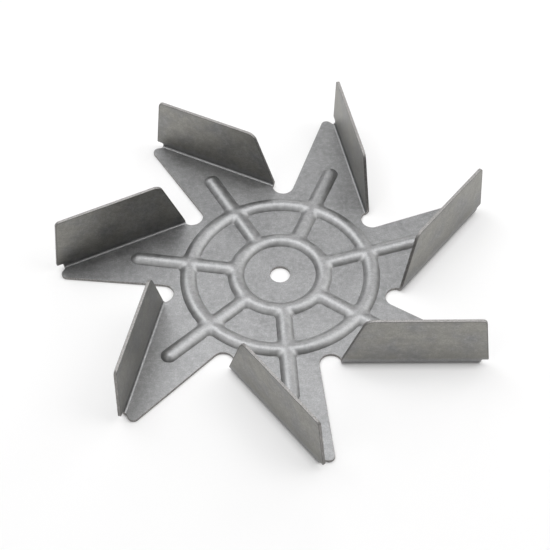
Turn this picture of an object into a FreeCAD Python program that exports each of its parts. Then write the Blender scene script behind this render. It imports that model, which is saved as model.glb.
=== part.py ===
"""Stamped seven-blade fan impeller: one piece of sheet steel, ribbed and folded.

Frame: the origin is on the axis of the bore, on the rest face of the sheet.
+Z points to the blade side, and +X runs along the fold of the first blade.
Lengths are in millimetres and angles in degrees.
"""
import FreeCAD, Part
import os
import Sketcher
from math import asin, atan2, cos, degrees, radians, sin, sqrt
from FreeCAD import Placement, Rotation, Vector

# The driving dimensions, under the names that the document's sheet gives them.
SIZES = {
    "sheet_thickness": 1.2,
    "bore_diameter": 8.0,
    "arm_count": 7,
    # Beads: two rings and one spoke to each arm, raised on the blade side.
    "inner_ring_radius": 17.5,
    "outer_ring_radius": 36.5,
    "bead_width": 6.6,
    "bead_height": 1.8,
    "spoke_end_radius": 60.7,
    "spoke_angle": 34.3,
    # Blade: its distance from the axis, and its reach along the fold.
    "blade_offset": 41.7,
    "blade_height": 27.1,
    "bend_radius": 1.0,
    "fold_start": 23.1,
    "fold_end": 76.0,
    "blade_foot_reach": 79.0,
    "blade_top_reach": 75.8,
    "blade_top_start": 31.9,
    "blade_outer_corner": 2.0,
    "blade_inner_corner": 4.0,
    "blade_foot_corner": 0.5,
    "relief_radius": 0.7,
    # Arm: its straight back edge, its nose and the valley to the next arm.
    "trailing_offset": 9.5,
    "trailing_taper": 2.9,
    "nose_angle": 36.0,
    "nose_radius": 2.2,
    "valley_radius": 4.4,
}

# Chords that each bead's round is drawn with. A few keep the wheel's mesh light.
BEAD_CHORDS = 8

# Formulas that several sketches share.
HALF_WIDTH = "(Sizes.bead_width / 2)"
BEAD_RADIUS = f"(({HALF_WIDTH}^2 + Sizes.bead_height^2) / (2 * Sizes.bead_height))"
UNDER_RADIUS = f"({BEAD_RADIUS} - Sizes.sheet_thickness)"
BEAD_CENTRE_DEPTH = f"({UNDER_RADIUS} - Sizes.bead_height)"
BEND_CENTRE_Y = "Sizes.blade_offset - Sizes.bend_radius"
BEND_TOP = "Sizes.sheet_thickness + Sizes.bend_radius"
PITCH = "360 / Sizes.arm_count"
END_CENTRE = f"(Sizes.spoke_end_radius - {HALF_WIDTH})"

doc = FreeCAD.newDocument("Impeller")
sheet = doc.addObject("Spreadsheet::Sheet", "Sizes")
for row, (name, value) in enumerate(SIZES.items(), start=1):
    sheet.set(f"A{row}", name)
    sheet.set(f"B{row}", str(value))
    sheet.setAlias(f"B{row}", name)
doc.recompute()


def size(name):
    """A size, read back from the sheet."""
    return float(getattr(sheet, name))


def point(radius, angle):
    """The plane point at that radius and angle in degrees."""
    return (radius * cos(radians(angle)), radius * sin(radians(angle)))


def origin_feature(body, role):
    """The body's own origin plane or axis that has this role."""
    return next(item for item in body.Origin.OriginFeatures if item.Role == role)


class Section:
    """A sketch on one of the body's origin planes, with sizes tied to the sheet."""

    def __init__(self, body, name, plane, place=None, turn=None):
        self.sketch = body.newObject("Sketcher::SketchObject", name)
        self.sketch.AttachmentSupport = [(origin_feature(body, plane), "")]
        self.sketch.MapMode = "FlatFace"
        if turn:
            about_upright = Rotation(Vector(0, 1, 0), 1)
            self.sketch.AttachmentOffset = Placement(Vector(), about_upright)
            self.sketch.setExpression("AttachmentOffset.Rotation.Angle", turn)
        for axis, formula in (place or {}).items():
            self.sketch.setExpression(f"AttachmentOffset.Base.{axis}", formula)

    def line(self, start, end, guide=False):
        edge = Part.LineSegment(Vector(*start, 0), Vector(*end, 0))
        return self.sketch.addGeometry(edge, guide)

    def arc(self, centre, radius, first, last, guide=False):
        """An arc that runs counter-clockwise from one angle to the other."""
        circle = Part.Circle(Vector(*centre, 0), Vector(0, 0, 1), radius)
        edge = Part.ArcOfCircle(circle, radians(first), radians(last))
        return self.sketch.addGeometry(edge, guide)

    def circle(self, centre, radius):
        edge = Part.Circle(Vector(*centre, 0), Vector(0, 0, 1), radius)
        return self.sketch.addGeometry(edge, False)

    def tie(self, kind, *where):
        """A constraint without a size, such as Coincident or Tangent."""
        self.sketch.addConstraint(Sketcher.Constraint(kind, *where))

    def measure(self, kind, *where, formula, now):
        """A constraint whose size follows a formula, and its size at present."""
        index = self.sketch.addConstraint(Sketcher.Constraint(kind, *where, now))
        self.sketch.setExpression(f"Constraints[{index}]", formula)


# Places on a sketch element, as the sketcher numbers them.
START, END, CENTRE = range(1, 4)
ORIGIN = (-1, 1)
ACROSS_AXIS, UP_AXIS = range(-1, -3, -1)


def arm_outline(body):
    """One seventh of the flat sheet: from the hub out to the fold, nose and valley."""
    bend_y = size("bend_radius") - size("blade_offset")
    fold_start = (size("fold_start"), bend_y)
    fold_end = (size("fold_end"), bend_y)
    pitch = 360 / size("arm_count")
    corner_radius = sqrt(fold_start[0] ** 2 + fold_start[1] ** 2)
    next_start = point(corner_radius, degrees(atan2(bend_y, fold_start[0])) + pitch)

    trailing = size("trailing_taper") - size("spoke_angle")
    along = Vector(*point(1, trailing), 0)
    outward = Vector(*point(1, trailing + 90), 0)
    offset = size("trailing_offset")

    # The nose touches the front line and the trailing line.
    nose_radius = size("nose_radius")
    front = size("nose_angle")
    front_inward = Vector(*point(1, front + 90), 0)
    front_reach = front_inward.dot(Vector(*fold_end, 0)) + nose_radius
    spread = front_inward.cross(outward).z
    nose = Vector(front_reach * outward.y - (offset - nose_radius) * front_inward.y,
                  (offset - nose_radius) * front_inward.x - front_reach * outward.x, 0) / spread
    front_touch = nose - front_inward * nose_radius
    trailing_touch = nose + outward * nose_radius

    # The valley touches the trailing line and ends where the next fold starts.
    valley_radius = size("valley_radius")
    corner = Vector(*next_start, 0)
    rise = offset + valley_radius
    run = corner.dot(along) + sqrt(valley_radius ** 2 - (rise - corner.dot(outward)) ** 2)
    valley = outward * rise + along * run
    valley_touch = valley - outward * valley_radius
    to_corner = corner - valley

    outline = Section(body, "ArmOutline", "XY_Plane")
    hub_side = outline.line((0, 0), fold_start)
    fold = outline.line(fold_start, fold_end)
    front_edge = outline.line(fold_end, (front_touch.x, front_touch.y))
    nose_edge = outline.arc((nose.x, nose.y), nose_radius, front - 90, trailing + 90)
    back_edge = outline.line((trailing_touch.x, trailing_touch.y),
                             (valley_touch.x, valley_touch.y))
    valley_edge = outline.arc((valley.x, valley.y), valley_radius,
                              degrees(atan2(to_corner.y, to_corner.x)), trailing + 270)
    next_side = outline.line(next_start, (0, 0))

    outline.tie("Coincident", hub_side, START, *ORIGIN)
    outline.tie("Coincident", hub_side, END, fold, START)
    outline.tie("Coincident", fold, END, front_edge, START)
    outline.tie("Tangent", front_edge, END, nose_edge, START)
    outline.tie("Tangent", nose_edge, END, back_edge, START)
    outline.tie("Tangent", back_edge, END, valley_edge, END)
    outline.tie("Coincident", valley_edge, START, next_side, START)
    outline.tie("Coincident", next_side, END, *ORIGIN)
    outline.tie("Horizontal", fold)
    outline.tie("Equal", hub_side, next_side)
    outline.measure("Angle", hub_side, START, next_side, END, formula=PITCH, now=radians(pitch))
    outline.measure("DistanceY", fold, START, *ORIGIN, formula=BEND_CENTRE_Y, now=-bend_y)
    outline.measure("DistanceX", *ORIGIN, fold, START, formula="Sizes.fold_start",
                    now=fold_start[0])
    outline.measure("DistanceX", *ORIGIN, fold, END, formula="Sizes.fold_end", now=fold_end[0])
    outline.measure("Angle", front_edge, formula="Sizes.nose_angle", now=radians(front))
    outline.measure("Radius", nose_edge, formula="Sizes.nose_radius", now=nose_radius)
    outline.measure("Angle", back_edge, formula="180 + Sizes.trailing_taper - Sizes.spoke_angle",
                    now=radians(180 + trailing))
    outline.measure("Distance", *ORIGIN, back_edge, formula="Sizes.trailing_offset", now=offset)
    outline.measure("Radius", valley_edge, formula="Sizes.valley_radius", now=valley_radius)
    return outline.sketch


def bend_section(body):
    """The quarter round of the fold, seen along it."""
    inner = size("bend_radius")
    outer = inner + size("sheet_thickness")
    centre = (inner - size("blade_offset"), outer)
    section = Section(body, "BendSection", "YZ_Plane", place={"z": "Sizes.fold_start"})
    outside = section.arc(centre, outer, 180, 270)
    inside = section.arc(centre, inner, 180, 270)
    flat_end = section.line((centre[0], 0), (centre[0], centre[1] - inner))
    blade_end = section.line((centre[0] - inner, centre[1]), (centre[0] - outer, centre[1]))
    section.tie("Coincident", outside, END, flat_end, START)
    section.tie("Coincident", flat_end, END, inside, END)
    section.tie("Coincident", inside, START, blade_end, START)
    section.tie("Coincident", blade_end, END, outside, START)
    section.tie("Coincident", outside, CENTRE, inside, CENTRE)
    section.tie("Vertical", flat_end)
    section.tie("Horizontal", blade_end)
    section.tie("Vertical", outside, CENTRE, flat_end, START)
    section.tie("Horizontal", outside, CENTRE, blade_end, START)
    section.measure("Radius", outside, formula=BEND_TOP, now=outer)
    section.measure("Radius", inside, formula="Sizes.bend_radius", now=inner)
    section.measure("DistanceX", outside, CENTRE, *ORIGIN, formula=BEND_CENTRE_Y, now=-centre[0])
    section.measure("DistanceY", *ORIGIN, outside, CENTRE, formula=BEND_TOP, now=centre[1])
    return section.sketch


def blade_outline(body):
    """The flat of one blade, seen square to it: relief notch, edges and corners."""
    thickness = size("sheet_thickness")
    foot = thickness + size("bend_radius")
    top = size("blade_height")
    relief = size("relief_radius")
    shelf = foot + relief
    root = (size("fold_start"), foot)
    root_end = (size("fold_end"), foot)
    foot_tip = (size("blade_foot_reach"), thickness)
    top_tip = (size("blade_top_reach"), top)
    top_root = (size("blade_top_start"), top)
    foot_round = size("blade_foot_corner")
    outer_round = size("blade_outer_corner")
    inner_round = size("blade_inner_corner")

    # Directions of the two upright edges, in degrees from the fold.
    outer_lean = degrees(atan2(top_tip[1] - foot_tip[1], top_tip[0] - foot_tip[0]))
    inner_lean = degrees(atan2(top_root[1] - root[1], top_root[0] - root[0]))
    out = Vector(*point(1, outer_lean - 90), 0)
    back = Vector(*point(1, inner_lean + 90), 0)

    def beside(line_point, normal, radius, height):
        """The centre at that height of a round that touches an edge from inside."""
        x = line_point[0] - (radius + normal.y * (height - line_point[1])) / normal.x
        return Vector(x, height, 0)

    foot_centre = beside(foot_tip, out, foot_round, shelf + foot_round)
    outer_centre = beside(foot_tip, out, outer_round, top - outer_round)
    inner_centre = beside(root, back, inner_round, top - inner_round)
    outer_start = foot_centre + out * foot_round
    outer_end = outer_centre + out * outer_round
    inner_start = inner_centre + back * inner_round

    blade = Section(body, "BladeOutline", "XZ_Plane", place={"z": "Sizes.blade_offset"})
    root_edge = blade.line(root, root_end)
    notch = blade.arc((root_end[0] + relief, foot), relief, 90, 180)
    shelf_edge = blade.line((root_end[0] + relief, shelf), (foot_centre.x, shelf))
    foot_corner = blade.arc((foot_centre.x, foot_centre.y), foot_round, -90, outer_lean - 90)
    outer_edge = blade.line((outer_start.x, outer_start.y), (outer_end.x, outer_end.y))
    outer_corner = blade.arc((outer_centre.x, outer_centre.y), outer_round, outer_lean - 90, 90)
    top_edge = blade.line((outer_centre.x, top), (inner_centre.x, top))
    inner_corner = blade.arc((inner_centre.x, inner_centre.y), inner_round, 90, inner_lean + 90)
    inner_edge = blade.line((inner_start.x, inner_start.y), root)
    outer_guide = blade.line(foot_tip, top_tip, guide=True)
    inner_guide = blade.line(root, top_root, guide=True)

    blade.tie("Coincident", root_edge, END, notch, END)
    blade.tie("PointOnObject", notch, CENTRE, root_edge)
    blade.tie("Tangent", notch, START, shelf_edge, START)
    blade.tie("Tangent", shelf_edge, END, foot_corner, START)
    blade.tie("Tangent", foot_corner, END, outer_edge, START)
    blade.tie("Tangent", outer_edge, END, outer_corner, START)
    blade.tie("Tangent", outer_corner, END, top_edge, START)
    blade.tie("Tangent", top_edge, END, inner_corner, START)
    blade.tie("Tangent", inner_corner, END, inner_edge, START)
    blade.tie("Coincident", inner_edge, END, root_edge, START)
    blade.tie("Coincident", inner_guide, START, root_edge, START)
    blade.tie("Horizontal", root_edge)
    blade.tie("Horizontal", shelf_edge)
    blade.tie("Horizontal", top_edge)
    blade.tie("PointOnObject", outer_edge, START, outer_guide)
    blade.tie("PointOnObject", outer_edge, END, outer_guide)
    blade.tie("PointOnObject", inner_edge, START, inner_guide)
    blade.measure("Radius", notch, formula="Sizes.relief_radius", now=relief)
    blade.measure("Radius", foot_corner, formula="Sizes.blade_foot_corner", now=foot_round)
    blade.measure("Radius", outer_corner, formula="Sizes.blade_outer_corner", now=outer_round)
    blade.measure("Radius", inner_corner, formula="Sizes.blade_inner_corner", now=inner_round)
    for element, place, across, up in (
            (root_edge, START, "Sizes.fold_start", BEND_TOP),
            (root_edge, END, "Sizes.fold_end", None),
            (outer_guide, START, "Sizes.blade_foot_reach", "Sizes.sheet_thickness"),
            (outer_guide, END, "Sizes.blade_top_reach", "Sizes.blade_height"),
            (inner_guide, END, "Sizes.blade_top_start", "Sizes.blade_height"),
            (top_edge, START, None, "Sizes.blade_height")):
        here = blade.sketch.getPoint(element, place)
        if across:
            blade.measure("DistanceX", *ORIGIN, element, place, formula=across, now=here.x)
        if up:
            blade.measure("DistanceY", *ORIGIN, element, place, formula=up, now=here.y)
    return blade.sketch


class Bead:
    """A bead's cross-section: one round from foot to foot, drawn as chords.

    The rounds of the sheet's two sides share their centre, one thickness apart.
    """

    def __init__(self, side):
        thickness = size("sheet_thickness")
        height = size("bead_height")
        radius = ((size("bead_width") / 2) ** 2 + height ** 2) / (2 * height)
        self.centre = thickness + height - radius
        self.under = side == "under"
        if self.under:
            self.level = 0.0
            self.radius = radius - thickness
            self.radius_formula = UNDER_RADIUS
        else:
            self.level = thickness
            self.radius = radius
            self.radius_formula = BEAD_RADIUS
        self.foot_angle = degrees(asin((self.level - self.centre) / self.radius))
        self.half_width = self.radius * cos(radians(self.foot_angle))
        # The section goes down half a thickness below its face, to overlap the sheet.
        self.base = self.level - thickness / 2


def bead_round(section, side, centre, last_angle, chords):
    """Equal chords on a guide arc, from the right foot up to an angle, and their bead."""
    bead = Bead(side)
    angles = [bead.foot_angle + (last_angle - bead.foot_angle) * step / chords
              for step in range(chords + 1)]
    corners = [Vector(centre, bead.centre) + Vector(*point(bead.radius, angle))
               for angle in angles]
    guide = section.arc((centre, bead.centre), bead.radius, bead.foot_angle, last_angle,
                        guide=True)
    lines = [section.line((start.x, start.y), (end.x, end.y))
             for start, end in zip(corners, corners[1:])]

    section.tie("Coincident", guide, START, lines[0], START)
    section.tie("Coincident", guide, END, lines[-1], END)
    for before, after in zip(lines, lines[1:]):
        section.tie("Coincident", before, END, after, START)
        section.tie("PointOnObject", after, START, guide)
        section.tie("Equal", before, after)
    section.measure("Radius", guide, formula=bead.radius_formula, now=bead.radius)
    section.measure("DistanceY", guide, CENTRE, *ORIGIN, formula=BEAD_CENTRE_DEPTH,
                    now=-bead.centre)
    if bead.under:
        section.tie("PointOnObject", guide, START, ACROSS_AXIS)
    else:
        section.measure("DistanceY", *ORIGIN, guide, START, formula="Sizes.sheet_thickness",
                        now=bead.level)
    return bead, guide, lines


def bead_section(section, side, centre=0.0, centre_formula=None):
    """The full cross-section of a bead, foot to foot."""
    left_foot_angle = 180 - Bead(side).foot_angle
    bead, guide, lines = bead_round(section, side, centre, left_foot_angle, BEAD_CHORDS)
    left_x = centre - bead.half_width
    right_x = centre + bead.half_width
    left_side = section.line((left_x, bead.level), (left_x, bead.base))
    floor = section.line((left_x, bead.base), (right_x, bead.base))
    right_side = section.line((right_x, bead.base), (right_x, bead.level))

    section.tie("Coincident", lines[-1], END, left_side, START)
    section.tie("Coincident", left_side, END, floor, START)
    section.tie("Coincident", floor, END, right_side, START)
    section.tie("Coincident", right_side, END, lines[0], START)
    section.tie("Vertical", left_side)
    section.tie("Vertical", right_side)
    section.tie("Horizontal", floor)
    section.tie("Horizontal", guide, START, guide, END)
    section.measure("Distance", left_side, formula="Sizes.sheet_thickness / 2",
                    now=bead.level - bead.base)
    if centre_formula:
        section.measure("DistanceX", *ORIGIN, guide, CENTRE, formula=centre_formula, now=centre)
    else:
        section.tie("PointOnObject", guide, CENTRE, UP_AXIS)
    return section.sketch


def bead_end_section(section, side):
    """Half of the same cross-section, from the upright axis out, for a round end."""
    bead, guide, lines = bead_round(section, side, 0, 90, BEAD_CHORDS // 2)
    foot_x = bead.half_width
    axis_side = section.line((0, bead.centre + bead.radius), (0, bead.base))
    floor = section.line((0, bead.base), (foot_x, bead.base))
    outer_side = section.line((foot_x, bead.base), (foot_x, bead.level))

    section.tie("Coincident", lines[-1], END, axis_side, START)
    section.tie("Coincident", axis_side, END, floor, START)
    section.tie("Coincident", floor, END, outer_side, START)
    section.tie("Coincident", outer_side, END, lines[0], START)
    section.tie("PointOnObject", guide, CENTRE, UP_AXIS)
    section.tie("PointOnObject", guide, END, UP_AXIS)
    section.tie("PointOnObject", axis_side, END, UP_AXIS)
    section.tie("Horizontal", floor)
    section.tie("Vertical", outer_side)
    section.measure("Distance", outer_side, formula="Sizes.sheet_thickness / 2",
                    now=bead.level - bead.base)
    return section.sketch


def extrude(body, kind, name, sketch, length, reverse=False):
    """A Pad or a Pocket of that length."""
    feature = body.newObject(f"PartDesign::{kind}", name)
    feature.Profile = sketch
    feature.setExpression("Length", length)
    feature.Reversed = reverse
    return feature


def revolve(body, kind, name, sketch):
    """A full Revolution or Groove about the sketch's upright axis."""
    feature = body.newObject(f"PartDesign::{kind}", name)
    feature.Profile = sketch
    feature.ReferenceAxis = (sketch, ["V_Axis"])
    feature.Angle = 360
    return feature


def round_the_axis(body, name, originals):
    """The same features on every arm."""
    pattern = body.newObject("PartDesign::PolarPattern", name)
    pattern.Originals = originals
    pattern.Axis = (origin_feature(body, "Z_Axis"), [""])
    pattern.Angle = 360
    pattern.setExpression("Occurrences", "Sizes.arm_count")
    body.Tip = pattern
    return pattern


def spoke_place(radius):
    """Where a spoke's sketches sit, on the plane across it and on the plane along it."""
    across = {"x": f"-{radius} * sin(Sizes.spoke_angle)",
              "z": f"{radius} * cos(Sizes.spoke_angle)"}
    along = {"x": f"{radius} * cos(Sizes.spoke_angle)",
             "z": f"{radius} * sin(Sizes.spoke_angle)"}
    return across, along


def beads(body, side):
    """The two rings and the spokes, raised on top or hollowed from below."""
    label = "Top" if side == "top" else "Under"
    turned = "Revolution" if side == "top" else "Groove"
    straight = "Pad" if side == "top" else "Pocket"
    for ring in ("inner", "outer"):
        formula = f"Sizes.{ring}_ring_radius"
        name = f"{label}{ring.title()}Ring"
        section = Section(body, f"{name}Section", "XZ_Plane")
        sketch = bead_section(section, side, size(f"{ring}_ring_radius"), formula)
        revolve(body, turned, name, sketch)

    turn = "-Sizes.spoke_angle"
    across, _ = spoke_place("Sizes.inner_ring_radius")
    _, along = spoke_place(END_CENTRE)
    section = Section(body, f"{label}SpokeSection", "YZ_Plane", place=across, turn=turn)
    spoke = extrude(body, straight, f"{label}Spoke", bead_section(section, side),
                    f"{END_CENTRE} - Sizes.inner_ring_radius", reverse=side == "under")
    section = Section(body, f"{label}SpokeEndSection", "XZ_Plane", place=along, turn=turn)
    end = revolve(body, turned, f"{label}SpokeEnd", bead_end_section(section, side))
    round_the_axis(body, f"{label}Spokes", [spoke, end])


def impeller():
    """The whole wheel: flat star, beads, bore and folded blades."""
    body = doc.addObject("PartDesign::Body", "Impeller")
    body.Label = "impeller"
    body.Placement = Placement()

    arm = extrude(body, "Pad", "Arm", arm_outline(body), "Sizes.sheet_thickness")
    round_the_axis(body, "Star", [arm])
    beads(body, "top")
    beads(body, "under")

    hole = Section(body, "BoreCircle", "XY_Plane")
    radius = size("bore_diameter") / 2
    edge = hole.circle((0, 0), radius)
    hole.tie("Coincident", edge, CENTRE, *ORIGIN)
    hole.measure("Radius", edge, formula="Sizes.bore_diameter / 2", now=radius)
    extrude(body, "Pocket", "Bore", hole.sketch, "2 * Sizes.sheet_thickness", reverse=True)

    bend = extrude(body, "Pad", "Bend", bend_section(body), "Sizes.fold_end - Sizes.fold_start")
    blade = extrude(body, "Pad", "Blade", blade_outline(body), "Sizes.sheet_thickness")
    round_the_axis(body, "Blades", [bend, blade])
    return body


def check(body):
    """Stop if a feature failed or the finished shape isn't one sound solid."""
    for item in doc.Objects:
        if "Invalid" in item.State or "Error" in item.State:
            raise RuntimeError(f"{item.Name} failed: {item.State}")
    shape = body.Shape
    if shape.isNull() or not shape.isValid() or len(shape.Solids) != 1:
        raise RuntimeError(f"{body.Label} isn't one valid solid")


wheel = impeller()
doc.recompute()
check(wheel)
os.makedirs("parts", exist_ok=True)
wheel.Shape.exportStep(f"parts/{wheel.Label}.step")
box = wheel.Shape.BoundBox
print(f"{wheel.Label}: {wheel.Shape.Volume:.1f} mm3, box {box.XLength:.2f} x "
      f"{box.YLength:.2f} x {box.ZLength:.2f} mm")
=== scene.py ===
"""Stamped seven-blade fan impeller, dressed to match its photograph.

The wheel is made the way the real one is: a flat blank is cut out, beads are
pressed up in it, and seven blades are folded up. Lengths are in millimetres and
angles in degrees. MM takes a length to Blender's metres.
"""

import math

import bpy
import numpy as np
from mathutils import Matrix, Vector
from mathutils.geometry import delaunay_2d_cdt


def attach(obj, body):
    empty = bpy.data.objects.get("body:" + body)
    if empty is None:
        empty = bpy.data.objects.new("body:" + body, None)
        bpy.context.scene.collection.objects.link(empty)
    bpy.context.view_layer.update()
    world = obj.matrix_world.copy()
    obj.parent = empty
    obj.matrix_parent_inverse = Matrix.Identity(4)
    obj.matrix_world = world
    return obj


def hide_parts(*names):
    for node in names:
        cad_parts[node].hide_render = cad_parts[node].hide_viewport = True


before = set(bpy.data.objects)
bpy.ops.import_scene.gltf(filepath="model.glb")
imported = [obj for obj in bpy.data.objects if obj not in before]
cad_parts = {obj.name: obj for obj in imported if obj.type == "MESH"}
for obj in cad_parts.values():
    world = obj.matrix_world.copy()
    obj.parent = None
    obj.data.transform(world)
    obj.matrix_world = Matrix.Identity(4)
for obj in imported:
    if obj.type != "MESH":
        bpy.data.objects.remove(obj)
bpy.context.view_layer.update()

MM = 0.001
NODE = "impeller"

# The wheel's own sizes, the same as those of its solid.
ARMS = 7
PITCH = 360 / ARMS
SHEET = 1.2
HALF = SHEET / 2
BORE_RADIUS = 4.0
RING_RADII = (17.5, 36.5)
BEAD_WIDTH = 6.6
BEAD_HEIGHT = 1.8
SPOKE_END = 60.7
SPOKE_ANGLE = -34.3
BLADE_OFFSET = 41.7
BLADE_HEIGHT = 27.1
BEND_RADIUS = 1.0
FOLD_START = 23.1
FOLD_END = 76.0
BLADE_FOOT_REACH = 79.0
BLADE_TOP_REACH = 75.8
BLADE_TOP_START = 31.9
OUTER_CORNER = 2.0
INNER_CORNER = 4.0
FOOT_CORNER = 0.5
RELIEF_RADIUS = 0.7
TRAILING_OFFSET = 9.5
TRAILING_TAPER = 2.9
NOSE_ANGLE = 36.0
NOSE_RADIUS = 2.2
VALLEY_RADIUS = 4.4

# The angle of each spoke, and how far out its round end is centred.
SPOKES = [SPOKE_ANGLE + arm * PITCH for arm in range(ARMS)]
SPOKE_CENTRE = SPOKE_END - BEAD_WIDTH / 2

# The beads and the bend, followed along the middle of the sheet.
BEAD_RADIUS = (BEAD_WIDTH ** 2 / 4 + BEAD_HEIGHT ** 2) / (2 * BEAD_HEIGHT) - HALF
FOLD_LINE = BLADE_OFFSET - BEND_RADIUS
MIDDLE_RADIUS = BEND_RADIUS + HALF
BEND_LENGTH = MIDDLE_RADIUS * math.pi / 2
BEND_TOP = SHEET + BEND_RADIUS

# Softened edges: the cut edges' own round, the outline's sharp corners and the beads' feet.
# A turn of the outline by more than SHARP_TURN degrees is a corner. Where beads cross, they
# are joined smoothly where their distances differ by less than BLEND.
EDGE_ROUND = 0.13
SHARP_TURN = 4.0
CORNER_REACH = 0.3
FOOT_RADIUS = 0.3
BLEND = 2.2

# Distances between mesh points, and the most degrees between two on an arc and in a fan.
# BEAD_ROWS are the rows' distances from a bead's middle line.
OUTLINE_STEP = 1.6
ARC_STEP = 0.5
ARC_TURN = 12
FAN_TURN = 15
FLAT_STEP = 2.6
BEND_ROWS = 8
FOLD_STEP = 1.3
BEAD_STEP = 0.9
BEAD_ROWS = (0.0, 0.5, 1.0, 1.5, 1.9, 2.25, 2.5, 2.7, 2.82, 2.9, 2.98, 3.06, 3.14, 3.26, 3.5)
CROSS_STEP = 0.36
CROSS_REACH = 5.5
RIM_STEP = 0.45

# The rows of a cut edge: how far each one's normal leans from the sheet's, and its side of
# the sheet's middle. In the texture each row is set out by another EDGE_STRETCH.
EDGE_ROWS = ((30, 1), (60, 1), (90, 1), (90, -1), (120, -1), (150, -1))
EDGE_STRETCH = 0.2

# For the triangles: keep what is inside the loops, and merge points closer than SAME_POINT.
INSIDE_LOOPS = 1
SAME_POINT = 1e-5

# How far the loose net of mesh points reaches, and how far it and the rows beside the cut
# edges keep from what has points of its own.
NET_REACH = 95.0
BEAD_ROOM = 1.3
BORE_ROOM = 1.5
FOLD_ROOM = 2.0
FOLD_END_ROOM = 1.5
CROSS_ROOM = 1.0
EDGE_ROOM = 1.4
RIM_ROOM = 0.8 * RIM_STEP

# Wear, dirt and painted light and shade. The first table is how much a bead is made lighter, at
# distances from its middle line: partly wear from the die, partly a painted highlight on its
# flanks. A bead's foot has a line of painted shade, cut edges a rim of dirt, and low on a blade
# a painted shade fades out upwards. Each kind has its greatest share.
WEAR_AND_PAINTED_LIGHT = ((0, 1.4, 2.2, 2.8, 3.1), (0.1, 0.35, 0.9, 1, 0))
PAINTED_FOOT_SHADE = 0.35
FOOT_LINE = 3.06
FOOT_LINE_WIDTH = 0.16
RIM_DIRT = 0.6
PAINTED_LOW_SHADE = 0.32
PAINTED_LOW_SHADE_HEIGHT = 9.0


def polar(radius, angle):
    """The plane point at that radius and angle."""
    return np.array([radius * math.cos(math.radians(angle)),
                     radius * math.sin(math.radians(angle))])


def turned(points, angle):
    """The plane points, turned about the wheel's axis."""
    c, s = math.cos(math.radians(angle)), math.sin(math.radians(angle))
    return points @ np.array([[c, s], [-s, c]])


def run(start, end, step=OUTLINE_STEP):
    """Points along a straight run, both ends included."""
    start, end = np.asarray(start, float), np.asarray(end, float)
    count = max(1, math.ceil(np.linalg.norm(end - start) / step))
    return start + np.linspace(0, 1, count + 1)[:, None] * (end - start)


def arc(centre, radius, first, last):
    """Points along an arc from one angle to the other, both ends included."""
    fewest, sweep = 3, abs(last - first)
    count = max(fewest, math.ceil(math.radians(sweep) * radius / ARC_STEP),
                math.ceil(sweep / ARC_TURN))
    angles = np.radians(np.linspace(first, last, count + 1))
    return np.asarray(centre) + radius * np.stack([np.cos(angles), np.sin(angles)], 1)


def blade_edge():
    """The blade's free edge seen square to it, from its inner root round to its outer root."""
    def beside(foot, tip, side, radius, height):
        """The centre of a round at that height that touches the edge from foot to tip."""
        lean = (tip[0] - foot[0]) / (tip[1] - foot[1])
        return foot[0] + lean * (height - foot[1]) - side * radius * math.hypot(1, lean)

    shelf = BEND_TOP + RELIEF_RADIUS
    root, top_root = (FOLD_START, BEND_TOP), (BLADE_TOP_START, BLADE_HEIGHT)
    foot, top = (BLADE_FOOT_REACH, SHEET), (BLADE_TOP_REACH, BLADE_HEIGHT)
    inner_lean = math.degrees(math.atan2(top_root[1] - root[1], top_root[0] - root[0]))
    outer_lean = math.degrees(math.atan2(top[1] - foot[1], top[0] - foot[0]))
    inner = (beside(root, top_root, -1, INNER_CORNER, BLADE_HEIGHT - INNER_CORNER),
             BLADE_HEIGHT - INNER_CORNER)
    outer = (beside(foot, top, 1, OUTER_CORNER, BLADE_HEIGHT - OUTER_CORNER),
             BLADE_HEIGHT - OUTER_CORNER)
    toe = (beside(foot, top, 1, FOOT_CORNER, shelf + FOOT_CORNER), shelf + FOOT_CORNER)

    inner_round = arc(inner, INNER_CORNER, inner_lean + 90, 90)
    outer_round = arc(outer, OUTER_CORNER, 90, outer_lean - 90)
    toe_round = arc(toe, FOOT_CORNER, outer_lean - 90, -90)
    notch = arc((FOLD_END + RELIEF_RADIUS, BEND_TOP), RELIEF_RADIUS, 90, 180)
    return [run(root, inner_round[0]), inner_round, run(inner_round[-1], outer_round[0]),
            outer_round, run(outer_round[-1], toe_round[0]), toe_round,
            run(toe_round[-1], notch[0]), notch]


def arm_pieces():
    """The outline of the first arm in the flat blank, from its fold to the next arm's."""
    def unfolded(edge):
        """A piece of the blade's edge, laid down flat beyond its bend."""
        return np.stack([edge[:, 0], -FOLD_LINE - BEND_LENGTH - (edge[:, 1] - BEND_TOP)], 1)

    fold_start = np.array([FOLD_START, -FOLD_LINE])
    fold_end = np.array([FOLD_END, -FOLD_LINE])
    across = np.array([0, -BEND_LENGTH])
    bend_step = BEND_LENGTH / BEND_ROWS
    next_start = turned(fold_start[None], PITCH)[0]

    # The straight back edge, and the rounds that touch it at both ends.
    trailing = SPOKE_ANGLE + TRAILING_TAPER
    along, outward = polar(1, trailing), polar(1, trailing + 90)
    front_inward = polar(1, NOSE_ANGLE + 90)
    nose = np.linalg.solve(np.array([front_inward, outward]),
                           np.array([front_inward @ fold_end + NOSE_RADIUS,
                                     TRAILING_OFFSET - NOSE_RADIUS]))
    rise = TRAILING_OFFSET + VALLEY_RADIUS
    reach = next_start @ along + math.sqrt(
        VALLEY_RADIUS ** 2 - (rise - next_start @ outward) ** 2)
    valley = outward * rise + along * reach
    to_next = next_start - valley
    valley_end = math.degrees(math.atan2(to_next[1], to_next[0]))

    nose_round = arc(nose, NOSE_RADIUS, NOSE_ANGLE - 90, trailing + 90)
    valley_round = arc(valley, VALLEY_RADIUS, trailing + 270, valley_end + 360 *
                       math.ceil((trailing + 90 - valley_end) / 360))
    blade = [unfolded(piece) for piece in blade_edge()]
    return [run(fold_start, fold_start + across, bend_step), *blade,
            run(fold_end + across, fold_end, bend_step), run(fold_end, nose_round[0]),
            nose_round, run(nose_round[-1], valley_round[0]), valley_round]


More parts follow.
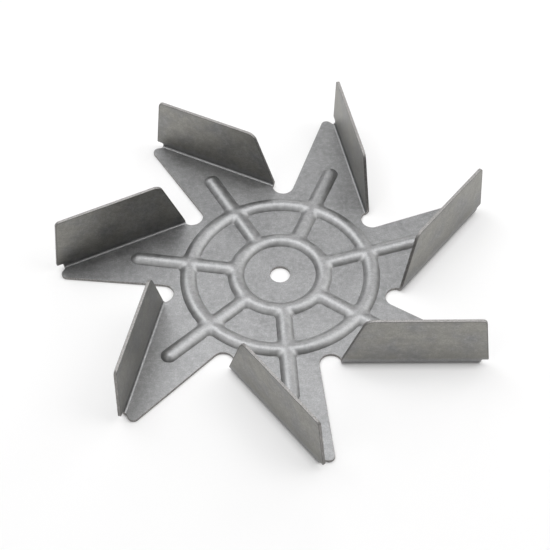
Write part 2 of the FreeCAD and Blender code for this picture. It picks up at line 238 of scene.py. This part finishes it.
def unit(vectors):
    """The vectors, each at length 1."""
    return vectors / np.linalg.norm(vectors, axis=-1, keepdims=True)


def joined(pieces):
    """One closed outline from pieces that meet end to end, its sharp corners rounded."""
    steps = np.linspace(0, 1, 5)[:, None]
    clear = 1.4 * CORNER_REACH
    outline = []
    cut_start = False
    ends = list(zip(pieces, pieces[1:] + pieces[:1]))
    for piece, after in ends[-1:] + ends:
        corner = piece[-1]
        coming, going = unit(corner - piece[-2]), unit(after[1] - after[0])
        sharp = coming @ going < math.cos(math.radians(SHARP_TURN))
        kept = piece[1:-1]
        for near, cut in ((piece[0], cut_start), (corner, sharp)):
            if cut:
                kept = kept[np.linalg.norm(kept - near, axis=1) > clear]
        outline.append(kept)
        if sharp:
            before, beyond = corner - CORNER_REACH * coming, corner + CORNER_REACH * going
            outline.append((1 - steps) ** 2 * before + 2 * steps * (1 - steps) * corner
                           + steps ** 2 * beyond)
        else:
            outline.append(corner[None])
        cut_start = sharp
    # The first pass only finds out how the last piece meets the first.
    return np.concatenate(outline[2:])


def outward_ways(loop):
    """How each point of a closed loop moves to set the loop out by 1; material is on its left."""
    before = unit(loop - np.roll(loop, 1, 0)) @ np.array([[0, -1], [1, 0]])
    after = np.roll(before, -1, 0)
    return (before + after) / (1 + (before * after).sum(1))[:, None]


def inside(points, loop):
    """Which points lie inside a closed loop."""
    start, end = loop, np.roll(loop, -1, 0)
    x, y = points[:, 0:1], points[:, 1:2]
    spans = (start[:, 1] > y) != (end[:, 1] > y)
    rise = end[:, 1] - start[:, 1]
    rise[rise == 0] = 1  # A level edge spans no point, so any value does.
    crossing = start[:, 0] + (y - start[:, 1]) * (end[:, 0] - start[:, 0]) / rise
    return (spans & (x < crossing)).sum(1) % 2 == 1


def far_from(points, others, reach):
    """Which points have none of the others within reach."""
    return np.linalg.norm(points[:, None] - others[None], axis=2).min(1) > reach


def from_spoke(points):
    """How far each point is from the nearest spoke's middle line."""
    nearest = np.full(len(points), np.inf)
    for spoke in SPOKES:
        along, across = turned(points, -spoke).T
        beyond = np.maximum(along - SPOKE_CENTRE, 0)
        distance = np.where(along > RING_RADII[0], np.hypot(beyond, across), np.inf)
        nearest = np.minimum(nearest, distance)
    return nearest


def from_ring(points, radius):
    """How far each point is from a ring's middle line."""
    return np.abs(np.hypot(*points.T) - radius)


def bead_profile(distance):
    """How high the middle of the sheet is raised at that distance from a bead's middle line."""
    centre = BEAD_HEIGHT - BEAD_RADIUS
    span = BEAD_RADIUS + FOOT_RADIUS
    foot = math.sqrt(span ** 2 - (FOOT_RADIUS - centre) ** 2)
    touch = foot * BEAD_RADIUS / span
    crest = centre + np.sqrt(np.maximum(BEAD_RADIUS ** 2 - distance ** 2, 0))
    fade = np.clip(foot - distance, 0, FOOT_RADIUS)
    round_foot = FOOT_RADIUS - np.sqrt(FOOT_RADIUS ** 2 - fade ** 2)
    return np.where(distance < touch, crest, round_foot)


def from_bead(points):
    """How far each point is from the nearest bead's middle line, or a little less at crossings."""
    ring = np.minimum(*(from_ring(points, radius) for radius in RING_RADII))
    spoke = from_spoke(points)
    overlap = np.maximum(BLEND - np.abs(ring - spoke), 0)
    return np.maximum(np.minimum(ring, spoke) - overlap ** 2 / (4 * BLEND), 0)


def relief(points):
    """How high the beads raise the middle of the sheet."""
    return bead_profile(from_bead(points))


def fold_frame(points, arm):
    """How far points of the flat blank lie along an arm's fold, and beyond its bend's start."""
    along, side = turned(points, -arm * PITCH).T
    return along, -FOLD_LINE - side


def on_blade(along, beyond):
    """Whether points of the flat blank, in the frame of a fold, belong to its bend or blade."""
    inner_room, outer_room = 0.6, 1.0
    lean = (BLADE_TOP_START - FOLD_START) / (BLADE_HEIGHT - BEND_TOP)
    inner = FOLD_START - inner_room + lean * np.maximum(beyond - BEND_LENGTH, 0)
    top = BEND_LENGTH + BLADE_HEIGHT - BEND_TOP
    return (beyond > 0) & (beyond < top + outer_room) & (along > inner) & (
        along < BLADE_FOOT_REACH + outer_room)


def formed(blank):
    """Where the middle of the sheet goes from each point of the flat blank, and its normal."""
    nudge = 0.01
    height = relief(blank)
    slope = [(relief(blank + way) - relief(blank - way)) / (2 * nudge)
             for way in (np.array([nudge, 0]), np.array([0, nudge]))]
    place = np.column_stack([blank, HALF + height])
    normal = unit(np.column_stack([-slope[0], -slope[1], np.ones(len(blank))]))
    for arm in range(ARMS):
        along, beyond = fold_frame(blank, arm)
        blade = on_blade(along, beyond)
        along, beyond = along[blade], beyond[blade]
        bend = np.minimum(beyond / MIDDLE_RADIUS, math.pi / 2)
        y = -FOLD_LINE - MIDDLE_RADIUS * np.sin(bend)
        z = BEND_TOP - MIDDLE_RADIUS * np.cos(bend) + np.maximum(beyond - BEND_LENGTH, 0)
        place[blade, :2] = turned(np.column_stack([along, y]), arm * PITCH)
        place[blade, 2] = z
        sideways = np.column_stack([np.zeros_like(bend), np.sin(bend)])
        normal[blade, :2] = turned(sideways, arm * PITCH)
        normal[blade, 2] = np.cos(bend)
    return place, normal


def crossings():
    """Where the spokes cross the rings."""
    return np.array([polar(radius, spoke) for spoke in SPOKES for radius in RING_RADII])


def bead_points():
    """Mesh points in rows along the beads, in grids where they cross and fans at their ends."""
    offsets = np.array(sorted({side * row for row in BEAD_ROWS for side in (-1, 1)}))
    rows = []
    for radius in RING_RADII:
        count = ARMS * round(2 * math.pi * radius / ARMS / BEAD_STEP)
        angles = np.linspace(0, 2 * math.pi, count, endpoint=False) + math.radians(SPOKE_ANGLE)
        reach = radius + offsets[:, None]
        rows.append(np.stack([reach * np.cos(angles), reach * np.sin(angles)], -1).reshape(-1, 2))
    steps = round((SPOKE_CENTRE - RING_RADII[0]) / BEAD_STEP)
    along, across = np.meshgrid(np.linspace(RING_RADII[0], SPOKE_CENTRE, steps + 1), offsets)
    straight = np.stack([along, across], -1).reshape(-1, 2)
    fan = np.array([(SPOKE_CENTRE + row * math.cos(angle), row * math.sin(angle))
                    for row in BEAD_ROWS[1:]
                    for angle in np.radians(np.arange(FAN_TURN - 90, 90, FAN_TURN))])
    rows += [turned(part, spoke) for spoke in SPOKES for part in (straight, fan)]
    rows = np.concatenate(rows)
    rows = rows[far_from(rows, crossings(), CROSS_REACH)]

    cells = np.arange(-CROSS_REACH, CROSS_REACH + CROSS_STEP, CROSS_STEP)
    grid = np.stack(np.meshgrid(cells, cells), -1).reshape(-1, 2)
    grid = grid[np.hypot(*grid.T) < CROSS_REACH - CROSS_STEP / 2]
    grids = [turned(grid, spoke) + polar(radius, spoke)
             for spoke in SPOKES for radius in RING_RADII]
    return np.concatenate([rows, *grids])


def bend_points():
    """Mesh points in rows along the folds, and pairs of them that follow each fold's two edges."""
    beside, end_room = 0.9, 1.0
    beyond = np.concatenate([[-beside], np.linspace(0, BEND_LENGTH, BEND_ROWS + 1),
                             [BEND_LENGTH + beside]])
    first, last = FOLD_START + end_room, FOLD_END - end_room
    count = round((last - first) / FOLD_STEP) + 1
    along, rows = np.meshgrid(np.linspace(first, last, count), -FOLD_LINE - beyond)
    fold = np.stack([along, rows], -1).reshape(-1, 2)
    points = np.concatenate([turned(fold, arm * PITCH) for arm in range(ARMS)])
    edges = []
    for arm in range(ARMS):
        for row in (1, BEND_ROWS + 1):
            start = arm * len(fold) + row * count
            edges += [(start + i, start + i + 1) for i in range(count - 1)]
    return points, edges


def flat_points(outline):
    """A loose net of mesh points over all that stays flat."""
    across = np.arange(-NET_REACH, NET_REACH, FLAT_STEP)
    up = np.arange(-NET_REACH, NET_REACH, FLAT_STEP * math.sqrt(3) / 2)
    x, y = np.meshgrid(across, up)
    x = x + (np.arange(len(up)) % 2 * FLAT_STEP / 2)[:, None]
    net = np.stack([x, y], -1).reshape(-1, 2)
    clear = np.minimum.reduce([from_spoke(net), *(from_ring(net, r) for r in RING_RADII)])
    net = net[(clear > BEAD_ROWS[-1] + BEAD_ROOM) & (
        np.hypot(*net.T) > BORE_RADIUS + BORE_ROOM)]
    for arm in range(ARMS):
        along, beyond = fold_frame(net, arm)
        near_fold = (abs(beyond - BEND_LENGTH / 2) < BEND_LENGTH / 2 + FOLD_ROOM) & (
            along > FOLD_START - FOLD_END_ROOM) & (along < FOLD_END + FOLD_END_ROOM)
        net = net[~near_fold]
    net = net[far_from(net, crossings(), CROSS_REACH + CROSS_ROOM)]
    net = net[inside(net, outline)]
    return net[far_from(net, outline, EDGE_ROOM)]


def triangulated(loops, folds, fold_edges, others):
    """The flat blank's mesh points and triangles, and the points that each loop runs through."""
    points = np.concatenate([*loops, folds, *others])
    edges = []
    first = 0
    for loop in loops:
        count = len(loop)
        edges += [(first + i, first + (i + 1) % count) for i in range(count)]
        first += count
    edges += [(first + a, first + b) for a, b in fold_edges]
    flat, _, faces, came_from, _, _ = delaunay_2d_cdt(
        [Vector(point) for point in points], edges, [], INSIDE_LOOPS, SAME_POINT)
    flat = np.array([tuple(v) for v in flat])
    faces = np.array([face for face in faces if len(face) == 3])
    faces = faces[np.hypot(*flat[faces].mean(1).T) > BORE_RADIUS]
    a, b, c = (flat[faces[:, k]] for k in range(3))
    backward = np.cross(b - a, c - a) < 0
    faces[backward] = faces[backward][:, ::-1]

    new_place = {old: new for new, olds in enumerate(came_from) for old in olds}
    ends = np.cumsum([0] + [len(loop) for loop in loops])
    rings = [np.array([new_place[old] for old in range(start, end)])
             for start, end in zip(ends, ends[1:])]
    return flat, faces, rings


def edge_rows(inset, way):
    """The vertices of a cut edge, row by row from the top skin round to the under skin."""
    ahead = 0.02
    centre, up = formed(inset)
    out = unit(formed(inset + ahead * unit(way))[0] - centre)
    stretch = np.linalg.norm(way, axis=1)[:, None]
    no_bead = np.full(len(inset), np.inf)
    for step, (lean, side) in enumerate(EDGE_ROWS, start=1):
        cosine, sine = math.cos(math.radians(lean)), math.sin(math.radians(lean))
        level = side * (HALF - EDGE_ROUND * (1 - abs(cosine)))
        # The dirt beside a cut edge fades out where the edge rounds off.
        rim = np.full(len(inset), max(2 * abs(cosine) - 1, 0))
        yield (centre + EDGE_ROUND * sine * stretch * out + level * up,
               unit(cosine * up + sine * out), inset + step * EDGE_STRETCH * way, no_bead, rim)


def wheel_mesh():
    """The whole wheel as one closed mesh, made from its flat blank.

    It gives each vertex's place and normal, its place in the blank, its distance from the
    nearest bead and its share of the dirt beside a cut edge, then the skins' triangles and
    the cut edges' quads.
    """
    outline = joined([turned(piece, arm * PITCH) for arm in range(ARMS)
                      for piece in arm_pieces()])
    bore = arc((0, 0), BORE_RADIUS, 360, 0)[:-1]
    loops = [outline, bore]
    ways = [outward_ways(loop) for loop in loops]
    insets = [loop - EDGE_ROUND * way for loop, way in zip(loops, ways)]
    rims = np.concatenate([loop - (EDGE_ROUND + RIM_STEP) * way
                           for loop, way in zip(loops, ways)])
    rims = rims[far_from(rims, np.concatenate(insets), RIM_ROOM)]
    flat, faces, rings = triangulated(
        insets, *bend_points(), [bead_points(), rims, flat_points(outline)])

    middle, up = formed(flat)
    count = len(flat)
    from_crest = from_bead(flat)
    rim = np.zeros(count)
    rim[np.concatenate(rings)] = 1
    rows = [(middle + HALF * up, up, flat, from_crest, rim),
            (middle - HALF * up, -up, flat, from_crest, rim)]
    skins = np.concatenate([faces, faces[:, ::-1] + count])

    sides = []
    total = 2 * count
    for inset, way, ring in zip(insets, ways, rings):
        strips = [ring]
        for row in edge_rows(inset, way):
            rows.append(row)
            strips.append(total + np.arange(len(ring)))
            total += len(ring)
        strips.append(ring + count)
        sides += [np.column_stack([upper, lower, np.roll(lower, -1), np.roll(upper, -1)])
                  for upper, lower in zip(strips, strips[1:])]
    return [np.concatenate(column) for column in zip(*rows)], skins, np.concatenate(sides)


def build_wheel(steel, sheared):
    """The wheel's mesh object. It keeps its place in the flat blank as texture coordinates."""
    (vertices, normals, blank, from_crest, rim), skins, sides = wheel_mesh()
    mesh = bpy.data.meshes.new("pressed_wheel")
    mesh.from_pydata((vertices * MM).tolist(), [], skins.tolist() + sides.tolist())
    mesh.materials.append(steel)
    mesh.materials.append(sheared)
    mesh.polygons.foreach_set("material_index", [0] * len(skins) + [1] * len(sides))
    mesh.polygons.foreach_set("use_smooth", [True] * (len(skins) + len(sides)))
    corner = np.empty(len(mesh.loops), int)
    mesh.loops.foreach_get("vertex_index", corner)
    mesh.uv_layers.new(name="blank").data.foreach_set("uv", (blank[corner] * MM).ravel())

    # Where the die has worn the sheet, with a painted highlight on the beads' flanks; the blades
    # that the folding has left a little stained; painted shade at the feet of the beads and low on
    # the blades, and dirt round the blades' cut edges.
    height = vertices[:, 2]
    stained = np.clip((height - SHEET - BEAD_HEIGHT) / SHEET, 0, 1)
    # Painted shade along the beads' feet, where their crease meets the flat sheet.
    foot = PAINTED_FOOT_SHADE * np.exp(-((from_crest - FOOT_LINE) / FOOT_LINE_WIDTH) ** 2)
    # Painted shade low on the blades, fading out upwards; the rim beside their cut edges is dirt.
    low = PAINTED_LOW_SHADE * np.exp(-((height - BEND_TOP) / PAINTED_LOW_SHADE_HEIGHT) ** 2)
    for name, share in (("wear_and_painted_light", np.interp(from_crest, *WEAR_AND_PAINTED_LIGHT)), ("stained", stained),
                        ("dirt_and_painted_shade", foot + np.maximum(RIM_DIRT * rim, low) * stained)):
        mesh.attributes.new(name, "FLOAT", "POINT").data.foreach_set("value", share)
    mesh.normals_split_custom_set_from_vertices(normals.tolist())
    wheel = bpy.data.objects.new("pressed_wheel", mesh)
    bpy.context.scene.collection.objects.link(wheel)
    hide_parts(NODE)
    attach(wheel, "root")


class Nodes:
    """The node tree of a material or of the world, built link by link."""

    def __init__(self, owner):
        owner.use_nodes = True
        self.tree = owner.node_tree
        self.tree.nodes.clear()

    def add(self, kind, inputs=None, **settings):
        """A node with these settings; an input is a value or another node's output."""
        node = self.tree.nodes.new("ShaderNode" + kind)
        for name, value in settings.items():
            setattr(node, name, value)
        for name, value in (inputs or {}).items():
            if isinstance(value, bpy.types.NodeSocket):
                self.tree.links.new(value, node.inputs[name])
            else:
                node.inputs[name].default_value = value
        return node

    def noise(self, vector, scale, detail, rough):
        """Noise over a vector in metres, its cells about 1 / scale across."""
        return self.add("TexNoise", {"Vector": vector, "Scale": scale, "Detail": detail,
                                     "Roughness": rough}).outputs["Fac"]

    def ramp(self, value, low, high, start, end):
        """The value, taken from the range start to end into the range low to high."""
        return self.add("MapRange", {"Value": value, "From Min": start, "From Max": end,
                                     "To Min": low, "To Max": high}).outputs["Result"]

    def blend(self, factor, first, second, **settings):
        """A mix of two colours, whose sockets come after those of the node's other kinds."""
        return self.add("Mix", {0: factor, 6: first, 7: second}, data_type="RGBA",
                        **settings).outputs[2]

    def math(self, operation, first, second):
        """The operation's result for two values."""
        return self.add("Math", {0: first, 1: second}, operation=operation).outputs[0]

    def share(self, name):
        """One of the mesh's own shares, such as its wear and painted highlight, or its dirt and
        painted shade.
        """
        return self.add("Attribute", attribute_name=name).outputs["Fac"]

    def output(self, kind, shader):
        """Use the shader as the surface of the material or of the world."""
        surface = self.add("Output" + kind).inputs["Surface"]
        self.tree.links.new(shader.outputs[0], surface)


def grey(level, warmth=0.0):
    """A grey at that level, the redder the greater its warmth."""
    return (level * (1 + warmth), level, level * (1 - warmth), 1)


def sheet_steel():
    """Satin coated sheet: cloudy at a centimetre, mottled and grainy below, rolled one way."""
    material = bpy.data.materials.new("sheet_steel")
    n = Nodes(material)
    blank = n.add("UVMap", uv_map="blank").outputs["UV"]
    rolled = n.add("Mapping", {"Vector": blank, "Scale": (0.1, 1.0, 1.0)}).outputs["Vector"]
    wear_and_painted_light, dirt_and_painted_shade, stained = (n.share(name) for name in ("wear_and_painted_light", "dirt_and_painted_shade", "stained"))

    cloud = n.noise(blank, 90, detail=4, rough=0.6)
    patch = n.noise(blank, 220, detail=5, rough=0.7)
    mottle = n.noise(blank, 500, detail=4, rough=0.65)
    grain = n.noise(blank, 1800, detail=3, rough=0.6)
    streak = n.noise(rolled, 1200, detail=4, rough=0.65)

    # The sheet itself, from its clouds to its grain.
    tone = n.blend(n.ramp(cloud, 0, 1, 0.3, 0.7), grey(0.238), grey(0.315))
    tone = n.blend(n.ramp(mottle, 0, 0.72, 0.42, 0.68), tone, grey(0.385))
    tone = n.blend(n.ramp(streak, 0, 0.25, 0.45, 0.75), tone, grey(0.205))
    tone = n.blend(n.ramp(grain, 0, 0.55, 0.42, 0.7), tone, grey(0.185))

    # What pressing, folding and handling have left on it, and painted light and shade: a painted
    # highlight on the beads' flanks, painted shade at their feet and low on the blades.
    # Lighter beads: wear from the die, and a painted highlight on their flanks.
    lightened = n.math("MULTIPLY", wear_and_painted_light, n.ramp(mottle, 0.5, 0.9, 0.35, 0.65))
    tone = n.blend(lightened, tone, grey(0.5))
    # Darker with dirt at the blades' cut edges, and with painted shade at bead feet and low on
    # blades.
    tone = n.blend(dirt_and_painted_shade, tone, grey(0.1))
    tint = n.math("MULTIPLY", stained, n.ramp(cloud, 0, 1.6, 0.3, 0.7))
    tone = n.blend(tint, tone, (1.09, 1.07, 0.99, 1), blend_type="MULTIPLY")
    stain = n.math("MULTIPLY", stained, n.ramp(patch, 0, 0.35, 0.45, 0.7))
    tone = n.blend(stain, tone, grey(0.17, 0.04))

    uneven = n.math("ADD", n.math("MULTIPLY", cloud, 0.5), n.math("MULTIPLY", mottle, 0.5))
    roughness = n.math("ADD", n.ramp(uneven, 0.38, 0.52, 0.3, 0.7),
                       n.math("MULTIPLY", wear_and_painted_light, 0.12))
    bumps = n.math("ADD", n.math("MULTIPLY", grain, 0.4), n.math("MULTIPLY", mottle, 0.6))
    normal = n.add("Bump", {"Height": bumps, "Strength": 0.3, "Distance": 0.06 * MM})
    steel = n.add("BsdfPrincipled", {"Base Color": tone, "Metallic": 1.0,
                                     "Roughness": roughness, "Normal": normal.outputs[0]})
    n.output("Material", steel)
    return material


def cut_edge():
    """The sheared edge of the sheet: plain and rough, with fine lines across its thickness."""
    material = bpy.data.materials.new("cut_edge")
    n = Nodes(material)
    place = n.add("TexCoord").outputs["Object"]
    across = n.add("Mapping", {"Vector": place, "Scale": (1.0, 1.0, 0.15)}).outputs["Vector"]
    lines = n.noise(across, 2600, detail=3, rough=0.6)
    tone = n.blend(n.ramp(lines, 0, 1, 0.35, 0.65), grey(0.25, 0.03), grey(0.4, 0.03))
    # Darker with dirt along the blades' cut edges, and with painted shade low on the blades.
    tone = n.blend(n.share("dirt_and_painted_shade"), tone, grey(0.1))
    normal = n.add("Bump", {"Height": lines, "Strength": 0.4, "Distance": 0.05 * MM})
    steel = n.add("BsdfPrincipled", {"Base Color": tone, "Metallic": 1.0, "Roughness": 0.65,
                                     "Normal": normal.outputs[0]})
    n.output("Material", steel)
    return material


# The photograph's camera, from the fit of the wheel to the picture. The picture is a square
# PICTURE pixels wide, and the bore's top centre lands on HUB_PIXEL.
PICTURE = 550
HUB_PIXEL = (280.0, 274.2)
FOCAL_PIXELS = 1356.4
DISTANCE = 539.9
ELEVATION = 51.83
ROLL = 1.152
AZIMUTH = 1.016
SENSOR = 36.0

# The floor's reach, and its drop, which keeps it out of the wheel's own lowest plane. Its glow
# grows over GLOW_SPAN from the middle, and fades where the wheel stands within GLOW_CLEARANCE:
# a painted contact shadow close round and under the wheel.
FLOOR_REACH = 4000.0
FLOOR_DROP = 0.02
GLOW_SPAN = (150.0, 600.0)
GLOW_CLEARANCE = 3.5

# The square soft boxes: name, azimuth, elevation, power and colour. Azimuth 0 is the
# camera's side, and 90 its right.
LAMP_DISTANCE = 1000.0
LAMP_WIDTH = 500.0
WHITE = (1, 1, 1)
COOL = (0.975, 0.983, 1)
LAMPS = (("front_left", 315, 48, 1.9, WHITE), ("right", 90, 48, 3.0, WHITE),
         ("right_high", 120, 70, 2.6, COOL), ("right_back", 135, 26, 1.8, WHITE),
         ("back_low", 180, 26, 1.6, WHITE), ("back_high", 180, 70, 1.0, COOL),
         ("left_back", 225, 48, 2.1, COOL), ("left_high", 240, 70, 3.0, COOL))
ROOM_LIGHT = 0.06


def add_camera():
    """The camera at the photograph's viewing angle."""
    elevation, roll = math.radians(ELEVATION), math.radians(ROLL)
    forward = Vector((0, math.cos(elevation), -math.sin(elevation)))
    right = Vector((1, 0, 0))
    axes = Matrix((right, right.cross(forward), forward))
    middle = PICTURE / 2
    to_hub = Vector(((HUB_PIXEL[0] - middle) / FOCAL_PIXELS,
                     (middle - HUB_PIXEL[1]) / FOCAL_PIXELS, 1)).normalized()
    aim = Vector((0, 0, 1)).rotation_difference(to_hub).to_matrix()
    axes = aim @ Matrix.Rotation(roll, 3, "Z") @ axes
    turn = Matrix.Rotation(math.radians(AZIMUTH), 3, "Z")
    right, up, forward = (turn @ axis for axis in axes)
    place = turn @ Vector((0, -math.cos(elevation), math.sin(elevation))) * DISTANCE
    place.z += SHEET

    data = bpy.data.cameras.new("photo_camera")
    data.sensor_width = SENSOR
    data.lens = FOCAL_PIXELS / PICTURE * SENSOR
    data.clip_start, data.clip_end = 0.01, 20
    camera = bpy.data.objects.new("photo_camera", data)
    bpy.context.scene.collection.objects.link(camera)
    camera.matrix_world = Matrix.Translation(place * MM) @ Matrix(
        (right, up, -forward)).transposed().to_4x4()
    bpy.context.scene.camera = camera


def add_floor():
    """A white floor just under the wheel, with the wheel's shadow on it and a painted contact
    shadow close round it.
    """
    material = bpy.data.materials.new("floor")
    n = Nodes(material)
    paper = n.add("BsdfDiffuse", {"Color": grey(0.85, 0.01)})
    glow = n.add("Emission", {"Color": grey(1.0), "Strength": 1.0})

    # The glow is seen by the camera and in reflections, and doesn't light the wheel.
    ray = n.add("LightPath").outputs
    seen = n.math("ADD", ray["Is Camera Ray"], ray["Is Glossy Ray"])
    seen = n.math("ADD", seen, ray["Is Transmission Ray"])
    place = n.add("TexCoord").outputs["Object"]
    away = n.add("VectorMath", {0: place}, operation="LENGTH").outputs["Value"]
    near, far = (reach * MM for reach in GLOW_SPAN)
    # Ambient occlusion takes the glow away close to the wheel, which paints a contact shadow
    # there.
    open_floor = n.add("AmbientOcclusion", {"Distance": GLOW_CLEARANCE * MM}, samples=6)
    glowing = n.math("MULTIPLY", seen, n.ramp(away, 0.54, 1, near, far))
    glowing = n.math("MULTIPLY", glowing, n.ramp(open_floor.outputs["AO"], 0, 1, 0.3, 1))
    shader = n.add("MixShader", {0: glowing, 1: paper.outputs[0], 2: glow.outputs[0]})
    n.output("Material", shader)

    corners = [(-1, -1, 0), (1, -1, 0), (1, 1, 0), (-1, 1, 0)]
    mesh = bpy.data.meshes.new("floor")
    mesh.from_pydata([Vector(corner) * FLOOR_REACH * MM for corner in corners], [],
                     [(0, 1, 2, 3)])
    mesh.materials.append(material)
    floor = bpy.data.objects.new("floor", mesh)
    floor.location.z = -FLOOR_DROP * MM
    bpy.context.scene.collection.objects.link(floor)


def add_lamp(name, azimuth, elevation, power, colour):
    """One square soft box that faces the wheel."""
    data = bpy.data.lights.new(name, "AREA")
    data.shape = "SQUARE"
    data.size = LAMP_WIDTH * MM
    data.energy = power
    data.color = colour
    lamp = bpy.data.objects.new(name, data)
    a, e = math.radians(azimuth), math.radians(elevation)
    back = Vector((math.sin(a) * math.cos(e), -math.cos(a) * math.cos(e), math.sin(e)))
    lamp.location = back * LAMP_DISTANCE * MM
    lamp.visible_camera = False
    lamp.rotation_mode = "QUATERNION"
    lamp.rotation_quaternion = back.to_track_quat("Z", "Y")
    bpy.context.scene.collection.objects.link(lamp)


def add_world():
    """A dim plain room that fills in where no lamp reaches."""
    world = bpy.data.worlds.new("room")
    bpy.context.scene.world = world
    n = Nodes(world)
    room = n.add("Background", {"Color": grey(1.0), "Strength": ROOM_LIGHT})
    n.output("World", room)


build_wheel(sheet_steel(), cut_edge())
add_camera()
add_floor()
add_world()
for lamp in LAMPS:
    add_lamp(*lamp)
bpy.context.scene.view_settings.view_transform = "Standard"
